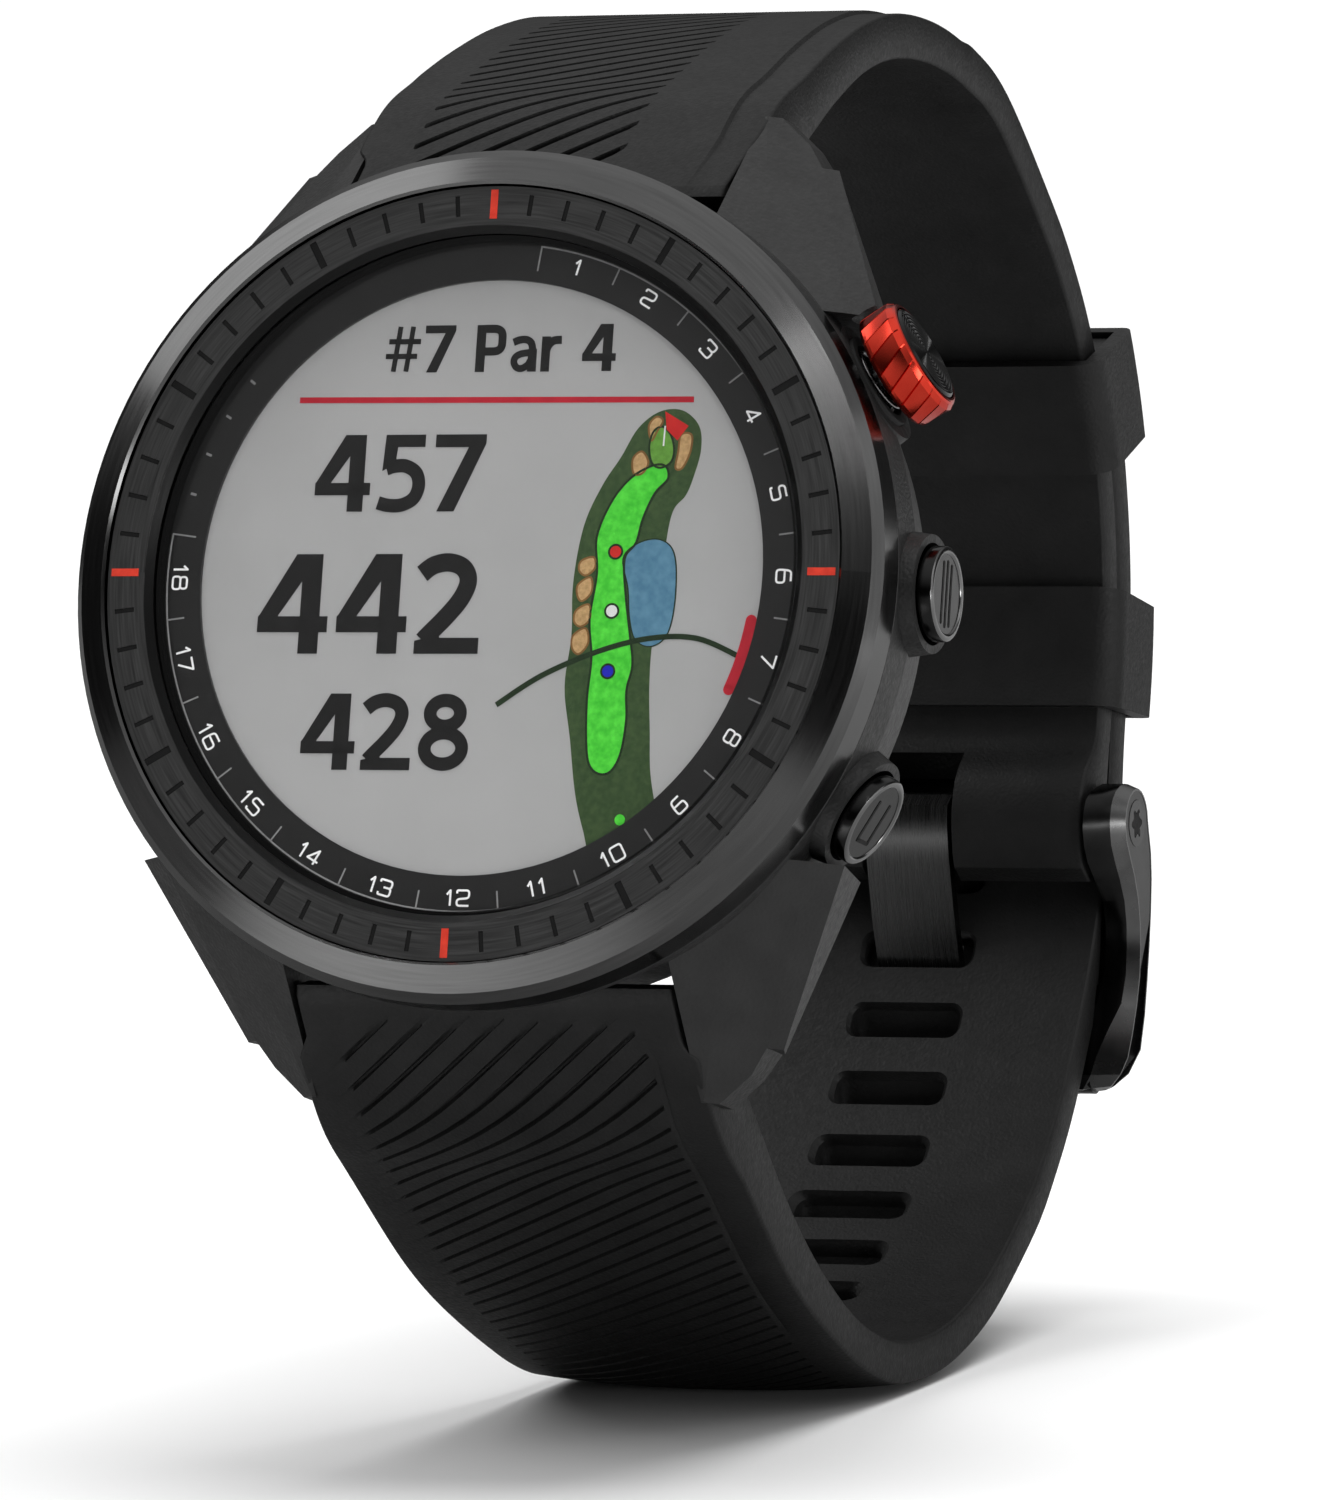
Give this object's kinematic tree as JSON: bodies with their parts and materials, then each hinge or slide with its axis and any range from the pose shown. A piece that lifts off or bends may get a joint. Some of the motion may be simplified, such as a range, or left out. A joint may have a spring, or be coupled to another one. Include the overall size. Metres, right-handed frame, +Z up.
{
  "type": "golf gps watch",
  "caption": "Round golf GPS wristwatch with raised bezel, three side buttons, faceted lugs and a closed silicone strap with keepers and a pin buckle.",
  "frame": {"origin": "middle of the small flat on the underside of the strap, where the watch stands", "axes": "+Z up, the dial faces -Y leaning back 15 degrees, +X to the three o'clock side with the buttons"},
  "size_m": [0.0486, 0.0848, 0.0784],
  "materials": {
    "case_polymer": "fine grain, matte",
    "dark_ceramic": "polished",
    "dark_aluminium": "brushed, dark anodised",
    "red_enamel": "satin",
    "glass": "polished",
    "seal_rubber": "matte",
    "black_gloss": "gloss",
    "screen": "satin",
    "white_plastic": "matte",
    "antenna": "plated",
    "frame_plastic": "matte",
    "circuit_board": "solder mask",
    "chip_black": "matte",
    "battery_foil": "foil",
    "steel": "machined",
    "tungsten": "sintered",
    "cover_polymer": "matte",
    "sensor_black": "gloss",
    "led": "clear",
    "contact_gold": "plated",
    "bush_brass": "machined",
    "red_anodised": "red anodised, faceted",
    "button_metal": "dark coating, polished rim",
    "strap_silicone": "matte, fine grain",
    "buckle_metal": "dark coating, polished edge",
    "tongue_metal": "dark, brushed"
  },
  "bodies": {
    "head_and_band": {"back_cover": "cover_polymer", "back_gasket": "seal_rubber", "back_screws": "steel", "backlight": "white_plastic", "battery": "battery_foil", "bezel_ring": "dark_ceramic", "board_chips": "chip_black", "case_body": "case_polymer", "charge_contacts": "contact_gold", "display_panel": "screen", "gps_antenna_ring": "antenna", "keeper_fixed": "strap_silicone", "lens": "glass", "lens_gasket": "seal_rubber", "low_button_bush": "bush_brass", "low_button_seal": "seal_rubber", "low_button_spring": "steel", "low_button_switch": "chip_black", "lug_bar_lower": "steel", "lug_bar_upper": "steel", "main_board": "circuit_board", "mid_button_bush": "bush_brass", "mid_button_seal": "seal_rubber", "mid_button_spring": "steel", "mid_button_switch": "chip_black", "mid_frame": "frame_plastic", "minute_ring": "dark_aluminium", "number_ring": "black_gloss", "red_inlays": "red_enamel", "sensor_board": "circuit_board", "sensor_leds": "led", "sensor_window": "sensor_black", "strap_long": "strap_silicone", "strap_short": "strap_silicone", "top_button_bush": "bush_brass", "top_button_collar": "seal_rubber", "top_button_seal": "seal_rubber", "top_button_spring": "steel", "top_button_switch": "chip_black", "vibration_motor": "steel"},
    "top_button": {"top_button_red_ring": "red_anodised", "top_button_disc": "button_metal", "top_button_stem": "steel", "top_button_clip": "steel"},
    "mid_button": {"mid_button_cap": "button_metal", "mid_button_stem": "steel", "mid_button_clip": "steel"},
    "low_button": {"low_button_cap": "button_metal", "low_button_stem": "steel", "low_button_clip": "steel"},
    "loose_keeper": {"keeper_loose": "strap_silicone"},
    "buckle": {"buckle_frame": "buckle_metal", "buckle_bar": "steel", "buckle_screws": "buckle_metal"},
    "tongue": {"buckle_tongue": "tongue_metal"},
    "upper_release": {"release_slide_upper": "steel"},
    "lower_release": {"release_slide_lower": "steel"},
    "motor_rotor": {"motor_weight": "tungsten"}
  },
  "joints": [
    {"name": "top_button_press", "type": "slide", "parent": "head_and_band", "child": "top_button", "axis": [-0.866, -0.1294, -0.483], "range_m": [0, 0.0005], "stiffness_N_per_m": 1500, "springref_m": -0.0005, "deforming": ["top_button_spring"]},
    {"name": "mid_button_press", "type": "slide", "parent": "head_and_band", "child": "mid_button", "axis": [-1, 0, 0], "range_m": [0, 0.0005], "stiffness_N_per_m": 1500, "springref_m": -0.0005, "deforming": ["mid_button_spring"]},
    {"name": "low_button_press", "type": "slide", "parent": "head_and_band", "child": "low_button", "axis": [-0.866, 0.1294, 0.483], "range_m": [0, 0.0005], "stiffness_N_per_m": 1500, "springref_m": -0.0005, "deforming": ["low_button_spring"]},
    {"name": "keeper_slide", "type": "hinge", "parent": "head_and_band", "child": "loose_keeper", "pos_m": [0, 0.0087, 0.04472], "axis": [1, 0, 0], "range_deg": [-13, 12]},
    {"name": "buckle_lift", "type": "hinge", "parent": "head_and_band", "child": "buckle", "pos_m": [0, 0.0319, 0.02912], "axis": [1, 0, 0], "range_deg": [0, 2]},
    {"name": "tongue_lift", "type": "hinge", "parent": "buckle", "child": "tongue", "pos_m": [0, 0.0319, 0.02912], "axis": [1, 0, 0], "range_deg": [0, 1.2]},
    {"name": "upper_release_slide", "type": "slide", "parent": "head_and_band", "child": "upper_release", "axis": [0, 0.8999, 0.4361], "range_m": [0, 0.0014], "stiffness_N_per_m": 300, "springref_m": -0.0004},
    {"name": "lower_release_slide", "type": "slide", "parent": "head_and_band", "child": "lower_release", "axis": [0, 0.6534, -0.757], "range_m": [0, 0.0014], "stiffness_N_per_m": 300, "springref_m": -0.0004},
    {"name": "motor_spin", "type": "hinge", "parent": "head_and_band", "child": "motor_rotor", "pos_m": [-0.015, -0.0299, 0.04742], "axis": [0, 0.2588, 0.9659], "continuous": true}
  ]
}
